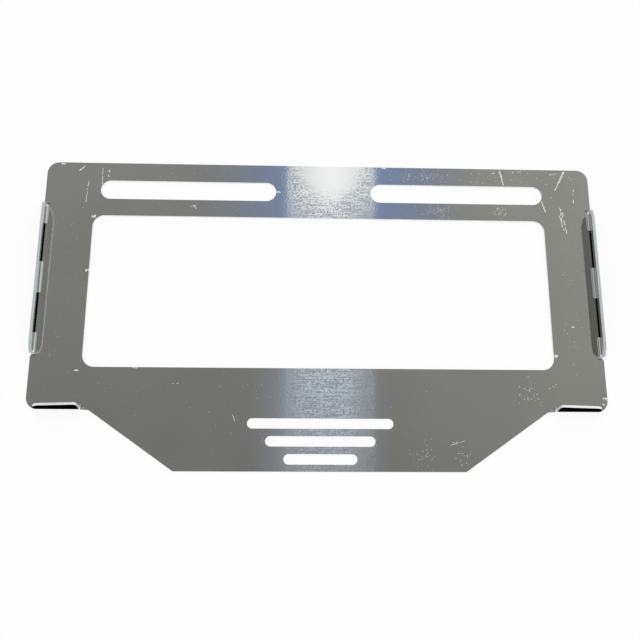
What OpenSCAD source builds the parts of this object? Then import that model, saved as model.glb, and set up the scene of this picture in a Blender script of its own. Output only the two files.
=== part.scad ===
// License plate holder for a motorbike: one thin sheet, cut to its outline and folded.
// Units are millimetres. The sheet lies on its back, the back face on z = 0,
// +Y toward the edge with the two long bolt slots, +X across, the folds standing up +Z.
// The origin is under the middle of the outline.

/* [Sheet] */
// thickness of the sheet
sheet_t = 1.0; // [0.8:0.1:1.4]
// width over the two folded sides
sheet_w = 240; // [234:1:280]
// height of the upper rectangle, from the top edge to the two lower corners
upper_h = 109; // [105:1:140]
// depth of the apron below the two lower corners
lower_h = 24.5; // [23:0.1:40]
// radius of the four outer corners
corner_r = 5; // [2:0.5:7]
// width of the apron where it leaves the rectangle
apron_top_w = 189.4; // [150:0.1:190]
// width of the apron along its low edge
apron_low_w = 118.6; // [90:0.1:145]

/* [Window] */
// width of the large window
window_w = 197.4; // [150:0.1:202]
// height of the large window
window_h = 66.7; // [40:0.1:69]
// distance of the window below the top edge
window_drop = 24.6; // [22:0.1:26]
// radius of the window corners
window_r = 5; // [2:0.5:12]

/* [Bolt slots] */
// width of each bolt slot
slot_w = 8.6; // [5:0.1:10]
// length of each bolt slot, end to end
slot_len = 76.6; // [20:0.1:90]
// distance between the middles of the two slots
slot_pitch = 118.3; // [100:0.1:125]
// how far the pair of slots sits to the right of the middle of the sheet
slot_shift = 1.2; // [0:0.1:2]
// distance of the slot middle line below the top edge
slot_drop = 12.6; // [9:0.1:14]

/* [Folds] */
// inside radius of every fold
bend_r = 1.2; // [0.8:0.1:1.6]
// how far every fold is bent past square, leaning inward, in degrees
lean = 12; // [0:1:20]
// gap left beside the ends of each fold where the sheet is cut free
relief_w = 0.8; // [0.4:0.1:1.5]

/* [Side flanges] */
// height of the side flanges above the back face
flange_h = 8.2; // [6.5:0.1:12]
// length of each side flange along the side
flange_len = 66.2; // [58:0.1:70]
// distance of the upper end of the flange below the top edge
flange_drop = 19.8; // [15:0.1:22]
// length of the middle fold bridge
bridge_len = 13.6; // [8:0.1:16]
// length of each of the two slits that weaken the fold
slit_len = 17.4; // [10:0.1:18]
// width of those slits, measured in the flat sheet
slit_w = 0.8; // [0.6:0.1:1.2]

/* [Lower tabs] */
// length of each lower tab
tab_len = 18.2; // [12:0.1:18.7]
// distance of the outer end of a tab from the side of the sheet
tab_inset = 4; // [3:0.1:4.5]
// height of a tab at its inner end, above the back face
tab_in_h = 8.0; // [7.2:0.1:11]
// height of a tab at its outer end, above the back face
tab_out_h = 6.5; // [6.4:0.1:7.2]
// radius of the outer top corner of a tab
tab_out_r = 3.2; // [1:0.1:3.2]
// radius of the inner top corner of a tab
tab_in_r = 1.2; // [0.5:0.1:2.5]

/* [Apron cut-outs] */
// width of the three plain bars cut through the apron
bar_w = 4.2; // [3:0.1:4.8]
// distance between the middle lines of two bars
bar_pitch = 7.2; // [6.5:0.1:7.4]
// length of the top bar, end to end
bar_len = 60; // [40:1:80]
// how much shorter each next bar is
bar_step = 15; // [5:1:16]
// distance of the top bar middle line below the lower corners
bar_drop = 5.2; // [4:0.1:5.4]

/* [Hidden] */
// smoothness of arcs and rounds
$fn = 96;
// cutting overlap
eps = 0.5;
// inset of the straight parts from the tangent lines of their folds and corner rounds
hair = 0.001;
// length of straight root that belongs to a fold
root = 0.6;
// how far the lips run on beside a bridge, and a fold ends inside its flange or tab
ear = 0.3;
// level of the top edge, the lower corners and the low edge
y_top = (upper_h + lower_h) / 2;
y_mid = y_top - upper_h;
y_low = y_mid - lower_h;
// level of the window and the bolt slots
window_y = y_top - window_drop - window_h / 2;
slot_y = y_top - slot_drop;
// outside radius of a fold and height of its centre line above the back face
fold_r = bend_r + sheet_t;
// length of sheet used up by one fold, along its neutral line
neutral = 0.44;
fold_arc = (bend_r + neutral * sheet_t) * (90 + lean) * PI / 180;
// flat lip left on each side of a slit
lip = (fold_arc - slit_w) / 2;
// where the flat sheet ends and a fold starts, so that the outermost point
// of the flange stays on the side of the sheet
flange_x = sheet_w / 2 - fold_r * cos(lean) - lip * sin(lean);
tab_y = y_mid + fold_r;
// ends of the side flange along Y
flange_y1 = y_top - flange_drop;
flange_y0 = flange_y1 - flange_len;
// length of the two outer bridges of the fold
end_bridge = (flange_len - bridge_len - 2 * slit_len) / 2;
// start of the lower and of the upper slit, measured from the lower end of the flange
slit_1 = end_bridge;
slit_2 = end_bridge + slit_len + bridge_len;
// straight length of the flange and tab above their folds
flange_s = straight(flange_h);
tab_in_s = straight(tab_in_h);
tab_out_s = straight(tab_out_h);
// slope of the free edge of a tab
tab_slope = atan((tab_in_s - tab_out_s) / tab_len);
// inner end of the right tab along X
tab_x0 = sheet_w / 2 - tab_inset - tab_len;

// straight length left above a fold for a free edge at height h
function straight(h) = (h - fold_r - fold_r * sin(lean)) / cos(lean);

// plain rectangle with four round corners, about the origin
module round_rect(w, h, r) {
    square([w - 2 * r, h], center = true);
    square([w, h - 2 * r], center = true);
    for (sx = [-1, 1])
        for (sy = [-1, 1])
            translate([sx * (w / 2 - r), sy * (h / 2 - r)])
                circle(r = r);
}

// round-ended slot of overall length len, about the origin
module long_slot(len, w) {
    square([len - w, w], center = true);
    for (s = [-1, 1])
        translate([s * (len - w) / 2, 0])
            circle(d = w);
}

// copies of the children on the right and mirrored on the left
module both_sides() {
    children();
    mirror([1, 0, 0])
        children();
}

// outline of the sheet with straight edges, before the folds
module sheet_outline() {
    translate([0, (y_top + y_mid) / 2])
        round_rect(sheet_w, upper_h, corner_r);
    polygon([
        [-apron_top_w / 2, y_mid + eps],
        [-apron_top_w / 2, y_mid],
        [-apron_low_w / 2, y_low],
        [apron_low_w / 2, y_low],
        [apron_top_w / 2, y_mid],
        [apron_top_w / 2, y_mid + eps]
    ]);
}

// the large window, the two bolt slots and the three bars of the apron
module openings() {
    translate([0, window_y])
        round_rect(window_w, window_h, window_r);
    for (s = [-1, 1])
        translate([slot_shift + s * slot_pitch / 2, slot_y])
            long_slot(slot_len, slot_w);
    for (i = [0, 1, 2])
        translate([0, y_mid - bar_drop - i * bar_pitch])
            long_slot(bar_len - i * bar_step, bar_w);
}

// strip of sheet taken away beside the right flange, down to the start of its fold
module flange_notch() {
    translate([flange_x, flange_y0 - relief_w])
        square([sheet_w, flange_len + 2 * relief_w]);
}

// strip of sheet taken away below the right tab, up to the start of its fold
module tab_notch() {
    translate([tab_x0 - relief_w, y_mid - eps])
        square([tab_len + 2 * relief_w, tab_y - y_mid + eps]);
}

// flat lips of the sheet that stay beside the two slits of the right flange
module sheet_lips() {
    for (y = [slit_1, slit_2])
        translate([flange_x - eps, flange_y0 + y - ear])
            square([lip + eps, slit_len + 2 * ear]);
}

// flat sheet with all its openings and the room for the folds
module flat_sheet() {
    linear_extrude(height = sheet_t)
        union() {
            difference() {
                sheet_outline();
                openings();
                both_sides() {
                    flange_notch();
                    tab_notch();
                }
            }
            both_sides()
                sheet_lips();
        }
}

// Folds are drawn along X from x = 0, the flat sheet on the -Y side, the fold
// starting at y = 0 and turning up and back over the sheet.

// cross-section of a fold from flat to upright plus the lean, with a short straight root
module fold_profile() {
    reach = 3 * fold_r;
    intersection() {
        difference() {
            union() {
                circle(r = fold_r);
                rotate(lean)
                    square([fold_r - hair, reach]);
            }
            circle(r = bend_r);
            rotate(lean)
                translate([-reach, 0])
                    square([reach + bend_r - hair, 2 * reach]);
        }
        translate([0, -reach])
            square([reach, 2 * reach]);
        rotate(lean)
            translate([-reach, -2 * reach])
                square([2 * reach, 2 * reach + root]);
    }
}

// one length of fold between x0 and x1
module fold_bridge(x0, x1) {
    translate([x0, 0, fold_r])
        rotate([90, 0, 90])
            linear_extrude(height = x1 - x0)
                fold_profile();
}

// stands an upright outline (x along the fold, y up from its end) on the fold
module stand_on_fold() {
    translate([0, 0, fold_r])
        rotate([lean, 0, 0])
            translate([0, fold_r - hair, 0])
                rotate([90, 0, 0])
                    linear_extrude(height = sheet_t)
                        children();
}

// outline of a side flange: quarter-round ends and the two lips below the slits
module flange_outline() {
    intersection() {
        union() {
            translate([flange_s, -eps])
                square([flange_len - 2 * flange_s, flange_s + eps]);
            for (x = [flange_s, flange_len - flange_s])
                translate([x, 0])
                    circle(r = flange_s);
        }
        translate([-eps, root / 2])
            square([flange_len + 2 * eps, flange_s]);
    }
    for (x = [slit_1, slit_2])
        translate([x - ear, -lip])
            square([slit_len + 2 * ear, lip + root]);
}

// side flange: three bridges of the fold carry one upright strip
module side_flange() {
    fold_bridge(ear, slit_1);
    fold_bridge(slit_1 + slit_len, slit_2);
    fold_bridge(slit_2 + slit_len, flange_len - ear);
    stand_on_fold()
        flange_outline();
}

// outline of a lower tab, its outer end at x = 0, the free edge rising to the inner end
module tab_outline() {
    out_y = tab_out_s + tab_out_r * tan(tab_slope) - tab_out_r / cos(tab_slope);
    in_y = tab_in_s - tab_in_r * tan(tab_slope) - tab_in_r / cos(tab_slope);
    edge = [-sin(tab_slope), cos(tab_slope)];
    intersection() {
        union() {
            polygon([
                [0, 0],
                [tab_len, 0],
                [tab_len, in_y],
                [tab_len - tab_in_r, in_y],
                [tab_len - tab_in_r, in_y] + tab_in_r * edge,
                [tab_out_r, out_y] + tab_out_r * edge,
                [tab_out_r, out_y],
                [0, out_y]
            ]);
            translate([tab_len - tab_in_r, in_y])
                circle(r = tab_in_r + hair);
            translate([tab_out_r, out_y])
                circle(r = tab_out_r + hair);
        }
        translate([-eps, root / 2])
            square([tab_len + 2 * eps, 2 * tab_in_s]);
    }
}

// lower tab: one whole fold and a short upright strip
module lower_tab() {
    fold_bridge(ear, tab_len - ear);
    stand_on_fold()
        tab_outline();
}

// right flange turned so that its fold runs along +Y, its outside toward +X
module place_flange() {
    translate([flange_x, flange_y1, 0])
        rotate([0, 0, -90])
            children();
}

// right tab turned so that its outside faces -Y, its outer end at the side
module place_tab() {
    translate([tab_x0 + tab_len, tab_y, 0])
        rotate([0, 0, 180])
            children();
}

// the whole holder
module plate_holder() {
    color([0.72, 0.72, 0.71])
        union() {
            flat_sheet();
            both_sides() {
                place_flange()
                    side_flange();
                place_tab()
                    lower_tab();
            }
        }
}

plate_holder();
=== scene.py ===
# %% [markdown]
# # A number plate holder in mirror-polished stainless sheet
#
# The real holder is one sheet, cut by laser, folded at its sides and lower corners, and polished. The
# CAD file gives its true form: outline, window, bolt slots, side flanges and lower tabs. This script
# gives it what a drawing can't: its polish, its cut edges, the marks of handling, and a photo studio
# around it. It starts by loading the CAD model as a frame. Nothing below moves that frame.

# %% Load the frame
import random
from math import cos, radians, sin

import bmesh
import bpy
from mathutils import Matrix, Vector
from mathutils.bvhtree import BVHTree


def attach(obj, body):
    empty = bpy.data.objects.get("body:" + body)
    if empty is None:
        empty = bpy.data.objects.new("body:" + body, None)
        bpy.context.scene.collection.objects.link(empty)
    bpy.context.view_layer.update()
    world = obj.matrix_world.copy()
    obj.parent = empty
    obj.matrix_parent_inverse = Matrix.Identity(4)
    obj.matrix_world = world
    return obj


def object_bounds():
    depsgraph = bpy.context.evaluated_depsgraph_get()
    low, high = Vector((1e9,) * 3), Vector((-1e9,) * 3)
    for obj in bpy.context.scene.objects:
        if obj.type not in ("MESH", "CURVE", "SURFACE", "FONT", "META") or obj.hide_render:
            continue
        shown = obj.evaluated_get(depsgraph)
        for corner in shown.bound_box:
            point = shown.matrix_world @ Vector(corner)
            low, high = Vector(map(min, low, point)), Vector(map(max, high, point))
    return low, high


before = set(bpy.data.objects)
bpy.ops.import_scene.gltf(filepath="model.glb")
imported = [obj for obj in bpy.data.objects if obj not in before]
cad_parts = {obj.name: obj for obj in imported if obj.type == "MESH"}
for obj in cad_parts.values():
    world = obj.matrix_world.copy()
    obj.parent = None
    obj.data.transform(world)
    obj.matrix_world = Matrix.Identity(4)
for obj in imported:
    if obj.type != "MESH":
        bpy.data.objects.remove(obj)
cad_low, cad_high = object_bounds()
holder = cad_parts["plate_holder"]
MM = 0.001
SHEET = 1.0 * MM  # thickness, so this is also the height of the front face
print("holder in mm:", [round((b - a) / MM, 2) for a, b in zip(cad_low, cad_high)])

# %% [markdown]
# Paint programs write colours as hex codes on an sRGB scale, while Blender adds up light on a linear
# one, so one function turns the codes over. A second one adds a shader node with its settings and
# its links in one line. A chain of such lines then reads like a recipe.

# %% Colour and node helpers
def colour(code):
    """Linear RGBA from an sRGB hex code such as '#777775'."""
    parts = [int(code[i : i + 2], 16) / 255 for i in (1, 3, 5)]
    return [p / 12.92 if p <= 0.04045 else ((p + 0.055) / 1.055) ** 2.4 for p in parts] + [1.0]


def add(tree, kind, sockets=None, **settings):
    """A new node in tree. sockets gives each input a value, or a node or an output to link to it."""
    made = tree.nodes.new(kind)
    for name, value in settings.items():
        setattr(made, name, value)
    for name, value in (sockets or {}).items():
        if isinstance(value, bpy.types.Node):
            value = value.outputs[0]
        if isinstance(value, bpy.types.NodeSocket):
            tree.links.new(value, made.inputs[name])
        else:
            made.inputs[name].default_value = value
    return made


def new_material(name):
    """An empty node material and its tree."""
    made = bpy.data.materials.new(name)
    made.use_nodes = True
    made.node_tree.nodes.clear()
    return made, made.node_tree


MATHS = "ShaderNodeMath"
RAMP = "ShaderNodeMapRange"
SOFT = {"interpolation_type": "SMOOTHSTEP"}  # a ramp with round ends
WHITE = colour("#ffffff")
print("half grey #808080 as linear light:", round(colour("#808080")[0], 3))

# %% [markdown]
# The camera hangs 30 cm above the holder, a little below its middle, tipped forward by some 14
# degrees. It could be placed by eye, but on a flat sheet a slip of one degree shows in every edge. So
# place, tilt and lens were solved from the straight edges of the window and the outline.

# %% Camera
EYE = Vector((-10.58, -78.86, 304.88)) * MM
TO_RIGHT = Vector((0.99941, 0.00137, 0.03432)).normalized()
TO_TOP = Vector((-0.00956, 0.97083, 0.23956))
lens = bpy.data.cameras.new("studio_camera")
lens.sensor_width = 36.0
lens.lens = 41.625
backward = TO_RIGHT.cross(TO_TOP).normalized()
camera = bpy.data.objects.new("studio_camera", lens)
bpy.context.collection.objects.link(camera)
turn = Matrix((TO_RIGHT, backward.cross(TO_RIGHT), backward)).transposed().to_4x4()
camera.matrix_world = Matrix.Translation(EYE) @ turn
bpy.context.scene.camera = camera
bpy.context.scene.view_settings.view_transform = "Standard"
print("camera height over the front face in mm:", round((EYE.z - SHEET) / MM, 1))

# %% [markdown]
# ## The finish of the sheet
#
# The real sheet is stainless steel, ground along its length and then polished nearly to a mirror. A
# mirror has hardly a colour of its own: the eye sees the grey ceiling in it, and a lamp as a white
# patch. What the polish leaves of the grinding could be drawn as bump alone. But a grain finer than
# a pixel only makes the mirror image wobble there, and doesn't look matt. So the grain does two
# things: it is a very shallow bump, and its coarsest grains are rougher than the rest. The real
# lines lie some 0.05 mm apart. Here they are drawn at 0.5 to 0.9 mm, about two pixels, or they would
# blur to nothing.

# %% Polish: grain and grinding lines
GRAIN = 0.9 * MM
LINE_LONG, LINE_APART = 8.0 * MM, 0.5 * MM
DEPTH = 0.006 * MM
steel, tree = new_material("mirror_polished_stainless_sheet")
place = add(tree, "ShaderNodeTexCoord").outputs["Object"]
x, y, z = add(tree, "ShaderNodeSeparateXYZ", {0: place}).outputs
grain = add(tree, "ShaderNodeTexNoise", {"Vector": place, "Scale": 1 / GRAIN, "Detail": 1.0})
along = (1 / LINE_LONG, 1 / LINE_APART, 1 / GRAIN)
long_place = add(tree, "ShaderNodeMapping", {"Vector": place, "Scale": along})
line = add(tree, "ShaderNodeTexNoise", {"Vector": long_place, "Scale": 1.0, "Detail": 1.0})
height = add(tree, MATHS, {0: grain, 1: line}, operation="ADD")
relief = add(tree, "ShaderNodeBump", {"Height": height, "Distance": DEPTH, "Strength": 1.0})
print("grain in mm:", GRAIN / MM, "lines apart in mm:", LINE_APART / MM)

# %% [markdown]
# The photograph shows coarse grain in a band across the middle of the sheet, and a finer polish
# again towards the top of that band. Painting the band by hand would need an image, while two soft
# ramps over the place on the sheet do it with a few sizes.

# %% Where the grain is coarse
BAND_X, BAND_INNER, BAND_OUTER = 4.5 * MM, 16 * MM, 19.5 * MM
FINE_Y, FINE_INNER, FINE_OUTER = 70 * MM, 8 * MM, 20 * MM
FINE_SQUASH = 0.75  # width of the fine patch against its height
LINE_SHARE = 0.8  # how rough a line is against a grain
FRONT_LIMIT = SHEET + 0.01 * MM  # the folds stand above it
rough_grain = add(tree, RAMP, {"Value": grain, "From Min": 0.51, "From Max": 0.60}, **SOFT)
rough_line = add(tree, RAMP, {"Value": line, "From Min": 0.50, "From Max": 0.60}, **SOFT)
rough_line = add(tree, MATHS, {0: rough_line, 1: LINE_SHARE}, operation="MULTIPLY")
rough_share = add(tree, MATHS, {0: rough_grain, 1: rough_line}, operation="MAXIMUM")
off_band = add(tree, MATHS, {0: x, 1: BAND_X}, operation="SUBTRACT")
off_size = add(tree, MATHS, {0: off_band}, operation="ABSOLUTE")
band = add(tree, RAMP, {"Value": off_size, "From Min": BAND_OUTER, "From Max": BAND_INNER}, **SOFT)
below = add(tree, MATHS, {0: y, 1: FINE_Y}, operation="SUBTRACT")
below = add(tree, MATHS, {0: below, 1: FINE_SQUASH}, operation="MULTIPLY")
away = add(tree, "ShaderNodeCombineXYZ", {"X": off_band, "Y": below})
away = add(tree, "ShaderNodeVectorMath", {0: away}, operation="LENGTH").outputs["Value"]
past_fine = add(tree, RAMP, {"Value": away, "From Min": FINE_INNER, "From Max": FINE_OUTER}, **SOFT)
coarse = add(tree, MATHS, {0: band, 1: past_fine}, operation="MULTIPLY")
on_front = add(tree, MATHS, {0: z, 1: FRONT_LIMIT}, operation="LESS_THAN")
coarse = add(tree, MATHS, {0: coarse, 1: on_front}, operation="MULTIPLY")
matt_share = add(tree, MATHS, {0: rough_share, 1: coarse}, operation="MULTIPLY")
print("coarse band, in mm across:", 2 * BAND_INNER / MM)

# %% [markdown]
# The laser leaves the cut walls matt and bright, with fine ripples. They could get a material of
# their own, face by face, but then a new size in the CAD would lose them. So they are found by what
# they are: walls of the sheet stand upright below the folds, and the free edge of a fold is where a
# fold no longer faces sideways. Each test below gives 1 where it is true and 0 elsewhere, so that a
# product means both and the larger of two means either.

# %% Cut walls and free edges
AT_SIDE = cad_high[0] - 3.7 * MM  # the side flanges lie further out than this
AT_TAB = cad_high[1] - 106.75 * MM  # and the lower tabs lie lower than this
FOLD_STARTS = SHEET + 0.3 * MM
UPRIGHT, FACING_AWAY = 0.5, 0.25  # limits on the parts of a normal
normal = add(tree, "ShaderNodeNewGeometry").outputs["True Normal"]
nx, ny, nz = add(tree, "ShaderNodeSeparateXYZ", {0: normal}).outputs
off_centre = add(tree, MATHS, {0: x}, operation="ABSOLUTE")
at_side = add(tree, MATHS, {0: off_centre, 1: AT_SIDE}, operation="GREATER_THAN")
at_tab = add(tree, MATHS, {0: y, 1: AT_TAB}, operation="LESS_THAN")
on_fold = add(tree, MATHS, {0: z, 1: FOLD_STARTS}, operation="GREATER_THAN")
on_sheet = add(tree, MATHS, {0: z, 1: FOLD_STARTS}, operation="LESS_THAN")
upright = add(tree, MATHS, {0: nz}, operation="ABSOLUTE")
upright = add(tree, MATHS, {0: upright, 1: UPRIGHT}, operation="LESS_THAN")
sheet_wall = add(tree, MATHS, {0: upright, 1: on_sheet}, operation="MULTIPLY")
cut_and_rim_highlight = sheet_wall
for facing, here in ((nx, at_side), (ny, at_tab)):
    edge = add(tree, MATHS, {0: facing}, operation="ABSOLUTE")
    edge = add(tree, MATHS, {0: edge, 1: FACING_AWAY}, operation="LESS_THAN")
    edge = add(tree, MATHS, {0: edge, 1: here}, operation="MULTIPLY")
    edge = add(tree, MATHS, {0: edge, 1: on_fold}, operation="MULTIPLY")
    cut_and_rim_highlight = add(tree, MATHS, {0: cut_and_rim_highlight, 1: edge}, operation="MAXIMUM")
print("side folds lie beyond x in mm:", round(AT_SIDE / MM, 2))

# %% [markdown]
# The free edge of a side flange was deburred by hand and left slightly round. The bright matt rim
# along it is partly that finish and partly a painted highlight, where the round edge catches the
# light. It runs straight and then round both ends. Measured from a line through the centres of those
# round ends, the rim is simply all that lies further off than a set distance. The line is the
# flange's own, from its length, its fold radius and its lean.

# %% Bright rim of the side flanges, partly a painted highlight
FLANGE_TOP = cad_high[1] - 19.8 * MM
FLANGE_LONG, FLANGE_ROUND = 66.2 * MM, 5.68 * MM
FOLD_ROUND, LEAN = 2.2 * MM, radians(12)
RIM = 1.2 * MM
FLANGE_MIDDLE = FLANGE_TOP - FLANGE_LONG / 2
STRAIGHT_HALF = FLANGE_LONG / 2 - FLANGE_ROUND
FOLD_ENDS = FOLD_ROUND * (1 + sin(LEAN))
past_end = add(tree, MATHS, {0: y, 1: FLANGE_MIDDLE}, operation="SUBTRACT")
past_end = add(tree, MATHS, {0: past_end}, operation="ABSOLUTE")
past_end = add(tree, MATHS, {0: past_end, 1: STRAIGHT_HALF}, operation="SUBTRACT")
past_end = add(tree, MATHS, {0: past_end, 1: 0.0}, operation="MAXIMUM")
rise = add(tree, MATHS, {0: z, 1: FOLD_ENDS}, operation="SUBTRACT")
rise = add(tree, MATHS, {0: rise, 1: 1 / cos(LEAN)}, operation="MULTIPLY")
from_line = add(tree, "ShaderNodeCombineXYZ", {"X": past_end, "Y": rise})
from_line = add(tree, "ShaderNodeVectorMath", {0: from_line}, operation="LENGTH").outputs["Value"]
rim = add(tree, MATHS, {0: from_line, 1: FLANGE_ROUND - RIM}, operation="GREATER_THAN")
rim = add(tree, MATHS, {0: rim, 1: at_side}, operation="MULTIPLY")
rim = add(tree, MATHS, {0: rim, 1: on_fold}, operation="MULTIPLY")
cut_and_rim_highlight = add(tree, MATHS, {0: cut_and_rim_highlight, 1: rim}, operation="MAXIMUM")
inward = add(tree, MATHS, {0: x}, operation="SIGN")
inward = add(tree, MATHS, {0: nx, 1: inward}, operation="MULTIPLY")
inward = add(tree, MATHS, {0: inward, 1: -FACING_AWAY}, operation="LESS_THAN")
# the inside of the rim keeps the bright cut colour as a painted highlight
inner_rim_highlight = add(tree, MATHS, {0: rim, 1: inward}, operation="MULTIPLY")
print("line of the rim, in mm long:", round(2 * STRAIGHT_HALF / MM, 2))

# %% [markdown]
# Now the steel itself. Polished steel is a metal with a light grey base colour and a roughness near
# zero. The cut walls are steel too, but their ripples scatter the light so much that they look like
# light grey paint. So they are mostly not metal here, and rough. Those of the side folds are a little
# duller than the rest, apart from the inside of the rim, which keeps the bright colour as a painted
# highlight.

# %% Steel shader
STEEL = colour("#bcbcb9")
CUT = colour("#eceeee")
SIDE_CUT = colour("#bcc3c2")
POLISHED, GRAINY, RIPPLED = 0.045, 0.29, 0.45  # roughness
PAINT_SHARE = 0.75  # how far the cut walls look like paint instead of metal
dull = add(tree, MATHS, {0: 1.0, 1: inner_rim_highlight}, operation="SUBTRACT")
dull = add(tree, MATHS, {0: at_side, 1: dull}, operation="MULTIPLY")
wall_tone = add(tree, "ShaderNodeMix", {0: dull, 6: CUT, 7: SIDE_CUT}, data_type="RGBA").outputs[2]
tone = add(tree, "ShaderNodeMix", {0: cut_and_rim_highlight, 6: STEEL, 7: wall_tone}, data_type="RGBA").outputs[2]
polish = add(tree, MATHS, {0: matt_share, 1: GRAINY}, operation="MULTIPLY")
polish = add(tree, MATHS, {0: polish, 1: POLISHED}, operation="ADD")
wall_matt = add(tree, MATHS, {0: cut_and_rim_highlight, 1: RIPPLED}, operation="MULTIPLY")
roughness = add(tree, MATHS, {0: polish, 1: wall_matt}, operation="MAXIMUM")
painted = add(tree, MATHS, {0: cut_and_rim_highlight, 1: PAINT_SHARE}, operation="MULTIPLY")
metal = add(tree, MATHS, {0: 1.0, 1: painted}, operation="SUBTRACT")
look = {"Base Color": tone, "Metallic": metal, "Roughness": roughness, "Normal": relief}
shader = add(tree, "ShaderNodeBsdfPrincipled", look)
add(tree, "ShaderNodeOutputMaterial", {"Surface": shader})
for slot in holder.material_slots:
    slot.material = steel
print("steel nodes:", len(tree.nodes))

# %% [markdown]
# ## Marks of handling
#
# Each scratch throws up a tiny ridge of torn metal on both sides. A ridge scatters light every way,
# so it shows white on the dark mirror. Scratches could be bump too, but bump on a mirror stays dark
# from most sides. So each is a row of closed slivers, stretched eight-sided grains half sunk in the
# face. They are drawn wider than the real ones, or they would be lost between pixels. A ray cast
# down on the sheet keeps them on the metal.

# %% One sliver of torn metal
random.seed(7)
EDGE_GAP = 0.02 * MM  # what the marks keep clear of the outline
FACE_SLACK = 0.02 * MM
ABOVE_ALL = 20 * MM
marks = bmesh.new()
metal_tree = BVHTree.FromObject(holder, bpy.context.evaluated_depsgraph_get())


def on_face(spot):
    """Whether the flat front face lies under this spot, given in metres."""
    hit = metal_tree.ray_cast(Vector((spot.x, spot.y, ABOVE_ALL)), Vector((0, 0, -1)))[0]
    return hit is not None and abs(hit.z - SHEET) < FACE_SLACK


def sliver(px, py, direction, length, width, rise=0.03, over_edge=False):
    """One closed grain on the front face, sizes in mm. It is left out where there is no metal."""
    ux, uy = direction
    size = (ux * ux + uy * uy) ** 0.5 or 1.0
    lengthwise = Vector((ux / size, uy / size, 0)) * length / 2
    crosswise = Vector((-uy / size, ux / size, 0)) * width / 2
    up = Vector((0, 0, rise))
    centre = Vector((px, py, SHEET / MM))
    reach = (lengthwise, -lengthwise, crosswise, -crosswise, up, -up)
    points = [(centre + way) * MM for way in reach]
    if not (on_face(centre * MM) and (over_edge or all(on_face(p) for p in points[:4]))):
        return
    for point in points:
        for axis in (0, 1):
            point[axis] = min(max(point[axis], cad_low[axis] + EDGE_GAP), cad_high[axis] - EDGE_GAP)
    corners = [marks.verts.new(point) for point in points]
    for end in (0, 1):
        for flank in (2, 3):
            for tip in (4, 5):
                marks.faces.new((corners[end], corners[flank], corners[tip]))


print("faces that the rays are cast on:", len(holder.data.polygons))

# %% [markdown]
# A real scratch is rarely one clean line: the tool skips and slides. So a scratch is a row of short
# slivers, with some left out and the rest a little off the line. The places below were judged from
# the photograph.

# %% Scratches: from x, y to x, y, width in mm, share left out
SLIVER_LONG, SLIVER_APART = 1.3, 0.8


def scratch(x0, y0, x1, y1, width, gaps):
    """A broken, slightly wandering line of slivers. gaps is the share of it that is missing."""
    run = Vector((x1 - x0, y1 - y0))
    steps = max(1, round(run.length / SLIVER_APART))
    for i in range(steps):
        if random.random() > gaps:
            t = (i + 0.5) / steps
            drift = random.uniform(-0.15, 0.15)
            thick = width * random.uniform(0.6, 1.2)
            sliver(x0 + run.x * t + drift, y0 + run.y * t, run, SLIVER_LONG, thick)


for stroke in (
    (-106.1, 63.0, -103.8, 65.2, 0.7, 0.0),
    (-101.8, 58.0, -102.4, 48.2, 0.35, 0.2),
    (-96.1, 64.3, -95.8, 56.6, 0.3, 0.2),
    (-93.4, 63.4, -93.1, 58.7, 0.6, 0.4),
    (80.2, 66.2, 81.9, 58.4, 0.75, 0.0),
    (109.2, 66.0, 104.9, 56.9, 0.6, 0.0),
    (109.8, 66.0, 107.0, 60.5, 0.4, 0.1),
    (113.1, 57.3, 112.4, 48.7, 0.45, 0.5),
    (98.2, 52.3, 99.9, 46.5, 0.5, 0.2),
    (106.5, 48.7, 106.9, 39.5, 0.6, 0.15),
    (107.4, 46.5, 108.6, 36.5, 0.55, 0.2),
    (105.8, 45.0, 107.4, 38.0, 0.35, 0.4),
    (52.5, -56.2, 60.6, -53.8, 0.28, 0.45),
    (54.0, -55.0, 57.0, -54.6, 0.22, 0.3),
    (75.0, 64.0, 79.5, 65.6, 0.35, 0.4),
    (86.0, 65.2, 90.0, 65.8, 0.35, 0.4),
    (102.0, 64.2, 107.0, 65.2, 0.4, 0.4),
    (-56.6, 48.6, -53.8, 45.2, 0.4, 0.25),
    (-57.2, 46.6, -54.6, 47.4, 0.3, 0.4),
    (-36.0, -44.0, -34.6, -47.5, 0.25, 0.4),
    (-62.0, -31.5, -57.0, -31.0, 0.2, 0.5),
    (95.0, -33.0, 99.0, -30.5, 0.25, 0.4),
):
    scratch(*stroke)
print("slivers in scratches:", len(marks.verts) // 6)

# %% [markdown]
# Grit that was caught between stacked sheets leaves clouds of fine specks. An even sprinkling would
# show the border of each worn place, so the specks crowd towards its middle, as a bell curve does.

# %% Specks: from x, y to x, y, how many, how large
for x0, y0, x1, y1, count, size in (
    (30, 59, 58, 66, 170, 0.62),
    (58, 59, 114, 66, 44, 0.9),
    (44, 43, 60, 49.5, 110, 0.65),
    (76, 43, 83, 49.5, 60, 0.8),
    (100, -40, 115, 56, 40, 0.75),
    (80, -40, 96, -28, 26, 1.0),
    (55, -66, 62, -56, 14, 0.9),
    (37, -66, 48, -54, 60, 0.6),
    (-115, -40, 60, -26, 50, 0.55),
    (-80, -64, 36, -40, 40, 0.5),
    (-115, -40, -100, 60, 26, 0.6),
    (-100, 59, 30, 66, 30, 0.5),
    (-100, 43, 10, 49, 24, 0.5),
    (-113, -40, -104, 40, 3, 1.0),
):
    for _ in range(count):
        lean = (random.uniform(-1, 1), random.uniform(-1, 1))
        speck_x = random.gauss((x0 + x1) / 2, (x1 - x0) / 4)
        speck_y = random.gauss((y0 + y1) / 2, (y1 - y0) / 4)
        long, wide = size * random.uniform(0.3, 1.0), size * random.uniform(0.12, 0.34)
        sliver(speck_x, speck_y, lean, long, wide)
print("slivers with specks:", len(marks.verts) // 6)

# %% [markdown]
# Where the laser started or ended a cut, a burr stays on the edge. It is a crumb of melted steel with
# no clear form, so it is a handful of short slivers turned every way. Alone among the marks, burrs
# may lean out over an edge.

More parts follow.
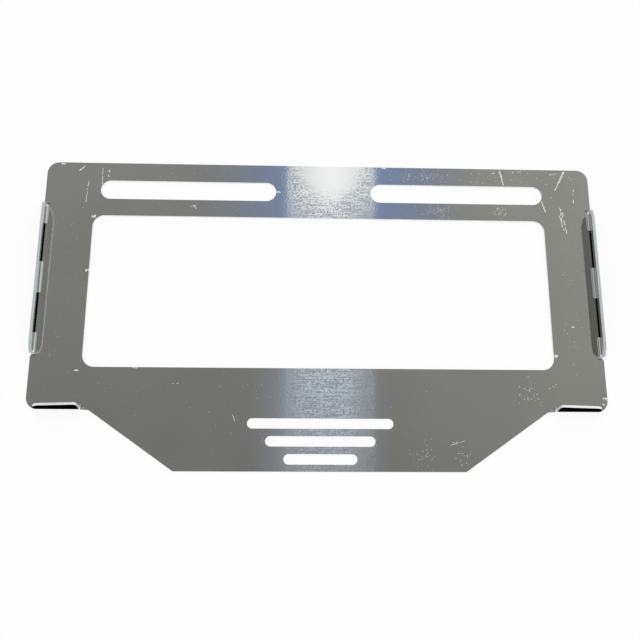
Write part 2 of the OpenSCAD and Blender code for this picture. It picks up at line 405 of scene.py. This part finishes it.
# %% Burrs: x, y, length and width in mm
SLIVERS_EACH = 7
for spot_x, spot_y, long, wide in (
    (-98.6, 41.6, 2.6, 1.3),
    (-99.3, 17.2, 2.4, 1.3),
    (-18.7, 54.2, 2.0, 1.2),
    (-113.5, 66.2, 2.4, 0.9),
    (-100.6, -26.0, 2.2, 0.8),
    (-76.6, -24.7, 2.6, 0.7),
    (-98.0, -40.9, 1.4, 0.6),
    (99.6, -18.6, 2.2, 1.3),
    (118.9, -36.6, 2.2, 1.1),
    (118.2, -38.9, 1.6, 0.8),
    (28.0, 66.3, 3.0, 0.6),
    (107.8, -5.8, 1.6, 0.7),
):
    for _ in range(SLIVERS_EACH):
        turned = (random.uniform(-1, 1), random.uniform(-1, 1))
        shift = (random.uniform(-0.3, 0.3) * long, random.uniform(-0.3, 0.3) * wide)
        size = (long * random.uniform(0.3, 0.5), wide * 0.6)
        sliver(spot_x + shift[0], spot_y + shift[1], turned, *size, rise=0.06, over_edge=True)
print("slivers with burrs:", len(marks.verts) // 6)

# %% [markdown]
# All slivers become one mesh, since they share a finish and never move against the sheet. Torn steel
# has no polish left: it is rough, and scatters light like pale paint rather than mirroring it. In the
# frame, the marks ride with the holder.

# %% Marks as one mesh, in torn steel
torn = bpy.data.meshes.new("handling_marks")
bmesh.ops.recalc_face_normals(marks, faces=marks.faces)
marks.to_mesh(torn)
handling_marks = bpy.data.objects.new("handling_marks", torn)
bpy.context.collection.objects.link(handling_marks)
scuffed, tree = new_material("torn_steel")
look = {"Base Color": colour("#dededc"), "Metallic": 0.0, "Roughness": 0.6}
shader = add(tree, "ShaderNodeBsdfPrincipled", look)
add(tree, "ShaderNodeOutputMaterial", {"Surface": shader})
torn.materials.append(scuffed)
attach(handling_marks, "root")
print("slivers in all:", len(torn.vertices) // 6)

# %% [markdown]
# ## The studio
#
# A white world lights every matt surface evenly, so a colour renders as it is written. Lamps would
# give harder shadows than the photograph has. The floor is white and, to the camera and to rays that
# bounce off metal, mostly glows, so that it stays white and keeps only a hint of the holder's
# shadow.

# %% World and floor
FLOOR_LEVEL = -0.3
GLOW_SHARE = 0.85
world = bpy.data.worlds.new("white_studio")
bpy.context.scene.world = world
world.use_nodes = True
world.node_tree.nodes["Background"].inputs["Color"].default_value = WHITE
world.node_tree.nodes["Background"].inputs["Strength"].default_value = 1.0
white_floor, tree = new_material("white_floor")
matt = add(tree, "ShaderNodeBsdfDiffuse", {"Color": colour("#f7f7f7")})
glow = add(tree, "ShaderNodeEmission", {"Color": WHITE, "Strength": 1.0})
ray = add(tree, "ShaderNodeLightPath").outputs
seen = add(tree, MATHS, {0: ray["Is Camera Ray"], 1: ray["Is Glossy Ray"]}, operation="MAXIMUM")
seen = add(tree, MATHS, {0: seen, 1: ray["Is Transmission Ray"]}, operation="MAXIMUM")
seen = add(tree, MATHS, {0: seen, 1: GLOW_SHARE}, operation="MULTIPLY")
mixed = add(tree, "ShaderNodeMixShader", {0: seen, 1: matt, 2: glow})
add(tree, "ShaderNodeOutputMaterial", {"Surface": mixed})


def panel(name, centre, half, level, material, mirrored_only=False):
    """A flat stage panel, sizes in mm. mirrored_only hides it from all but metal."""
    middle = (centre[0] * MM, centre[1] * MM, level * MM)
    bpy.ops.mesh.primitive_plane_add(size=2.0, location=middle)
    made = bpy.context.object
    made.name = name
    made.scale = (half[0] * MM, half[1] * MM, 1)
    bpy.ops.object.transform_apply(location=False, rotation=False, scale=True)
    made.data.materials.append(material)
    if mirrored_only:
        made.visible_camera = False
        made.visible_diffuse = False
        made.visible_shadow = False
        made.visible_transmission = False
    return made


floor = panel("floor", (0, 0), (4000, 4000), FLOOR_LEVEL, white_floor)
print("floor in m:", [round(size, 2) for size in floor.dimensions[:2]])

# %% [markdown]
# What the camera sees in the mirror hangs overhead. The sheet lies flat, so a panel 60 cm up shows in
# it as on a map, three times smaller. A wide grey ceiling gives the sheet its grey, darker at the
# lower left, lighter and warmer at the right, with faint clouds as on any painted ceiling. The
# overhead panels are seen by metal only: they cast no shadow and light nothing else.

# %% Grey ceiling in the mirror
OVERHEAD = 600
CLOUDS_PER_METRE = 9.0
ceiling, tree = new_material("grey_ceiling")
over = add(tree, "ShaderNodeTexCoord").outputs["Object"]
over_x, over_y, _ = add(tree, "ShaderNodeSeparateXYZ", {0: over}).outputs
to_right = add(tree, RAMP, {"Value": over_x, "From Min": -0.10, "From Max": 0.60}, **SOFT)
to_top = add(tree, RAMP, {"Value": over_y, "From Min": -0.35, "From Max": 0.35}, **SOFT)
left_grey, right_grey = colour("#a7a7a6"), colour("#c5c4bf")
hue = add(tree, "ShaderNodeMix", {0: to_right, 6: left_grey, 7: right_grey}, data_type="RGBA")
bright = add(tree, RAMP, {"Value": to_top, "To Min": 0.80, "To Max": 1.10})
cloud = {"Vector": over, "Scale": CLOUDS_PER_METRE, "Detail": 2.0, "Roughness": 0.4}
cloud = add(tree, "ShaderNodeTexNoise", cloud)
shade = {"Value": cloud, "From Min": 0.3, "From Max": 0.7, "To Min": 0.955, "To Max": 1.045}
shade = add(tree, RAMP, shade)
bright = add(tree, MATHS, {0: bright, 1: shade}, operation="MULTIPLY")
lit = add(tree, "ShaderNodeEmission", {"Color": hue.outputs[2], "Strength": bright})
add(tree, "ShaderNodeOutputMaterial", {"Surface": lit})
ceiling_panel = panel("ceiling", (20, 155), (1400, 1400), OVERHEAD, ceiling, mirrored_only=True)
print("ceiling height in m:", round(ceiling_panel.location.z, 2))

# %% [markdown]
# The lamp is a white panel above the upper edge, brightest in its core. Below it hangs the glow that
# it throws along a cool white wall, and beside it the blue of a window. A plain emitter would have
# hard borders, so each of these covers what hangs above it in the middle and thins out to nothing
# towards its edge. The lowest one covers the others, so each has a level of its own.

# %% Lamp, its glow and the window light
def soft_light(name, centre, half, fade, tint, strength, below_ceiling):
    """A panel of light that fades out over fade mm on each side. Sizes are in mm."""
    material, tree = new_material(name)
    here = add(tree, "ShaderNodeTexCoord").outputs["Object"]
    spot = add(tree, "ShaderNodeSeparateXYZ", {0: here})
    share = 1.0
    for axis in (0, 1):
        off = add(tree, MATHS, {0: spot.outputs[axis]}, operation="ABSOLUTE")
        far, near = (half[axis] + fade[axis]) * MM, (half[axis] - fade[axis]) * MM
        inside = add(tree, RAMP, {"Value": off, "From Min": far, "From Max": near}, **SOFT)
        share = add(tree, MATHS, {0: inside, 1: share}, operation="MULTIPLY")
    light = add(tree, "ShaderNodeEmission", {"Color": colour(tint), "Strength": strength})
    clear = add(tree, "ShaderNodeBsdfTransparent")
    mixed = add(tree, "ShaderNodeMixShader", {0: share, 1: clear, 2: light})
    add(tree, "ShaderNodeOutputMaterial", {"Surface": mixed})
    reach = (half[0] + fade[0], half[1] + fade[1])
    return panel(name, centre, reach, OVERHEAD - below_ceiling, material, mirrored_only=True)


# name, centre, half size, fade, colour, strength, how far below the ceiling
overhead = [
    soft_light("lamp_core", (36, 430), (26, 140), (26, 50), "#fbfbff", 1.78, 4),
    soft_light("lamp_halo", (35, 420), (55, 130), (5, 34), "#f4f9fa", 1.5, 3),
    soft_light("lamp_glow", (28, 200), (40, 220), (22, 130), "#dfecfd", 1.25, 2),
    soft_light("cool_wall", (22, 20), (60, 130), (34, 110), "#b0b7c6", 1.0, 0.5),
    soft_light("window_light", (46, 430), (110, 230), (88, 80), "#a0b6e2", 0.97, 1),
    soft_light("far_window_right", (900, 150), (430, 600), (60, 100), "#ecfcff", 1.28, 5),
]
print("soft lights overhead:", [card.name for card in overhead])

# %% [markdown]
# The slits of the side folds show what lies under them. Strips of black paper under the folds are
# painted shade: they make the slits read as black gaps, as they do in the photograph. The short
# relief cuts beside the folds hardly show there, so a little grey card of painted shade lies under
# each, and under each notch of the tabs. The lower tabs are polished outside too, and mirror the
# table just in front of them. Painting them black would look wrong from any other side. So they stay
# steel, and a dark card that only metal sees lies on the table there, as a painted dark reflection.

# %% Painted shade and a painted dark reflection: cards under and before the folds
def paper(name, code):
    """A matt paper of one colour, for painted shade and a painted dark reflection at the folds."""
    material, tree = new_material(name)
    matt = add(tree, "ShaderNodeBsdfDiffuse", {"Color": colour(code)})
    add(tree, "ShaderNodeOutputMaterial", {"Surface": matt})
    return material


PAPER_LEVEL, CARD_LEVEL = -0.1, -0.15
black_shade_card = paper("black_shade_card", "#080808")
grey_shade_card = paper("grey_shade_card", "#8a8a86")
cards = []  # name, centre, half size, level, material
for side, name in ((-1, "left"), (1, "right")):
    in_front = (side * 109.0, -47.0)
    cards += [
        # painted shade: black paper where the shadow under the folds falls, seen through the slits
        panel("black_shade_card_" + name, (side * 116.5, 13.8), (3.2, 27.0), PAPER_LEVEL, black_shade_card),
        # painted shade: grey cards that quiet the relief cuts and the tab notches
        panel("grey_card_low_" + name, (side * 118.0, -20.4), (2.0, 1.4), CARD_LEVEL, grey_shade_card),
        panel("grey_card_top_" + name, (side * 118.0, 48.1), (2.0, 1.4), CARD_LEVEL, grey_shade_card),
        panel("grey_card_tab_" + name, (side * 97.6, -40.85), (0.5, 1.25), CARD_LEVEL, grey_shade_card),
        # painted dark reflection: a black card that only metal sees, mirrored in the lower tabs
        panel("dark_reflection_card_" + name, in_front, (15.0, 5.5), PAPER_LEVEL, black_shade_card, True),
    ]
print("papers and cards:", [card.name for card in cards])
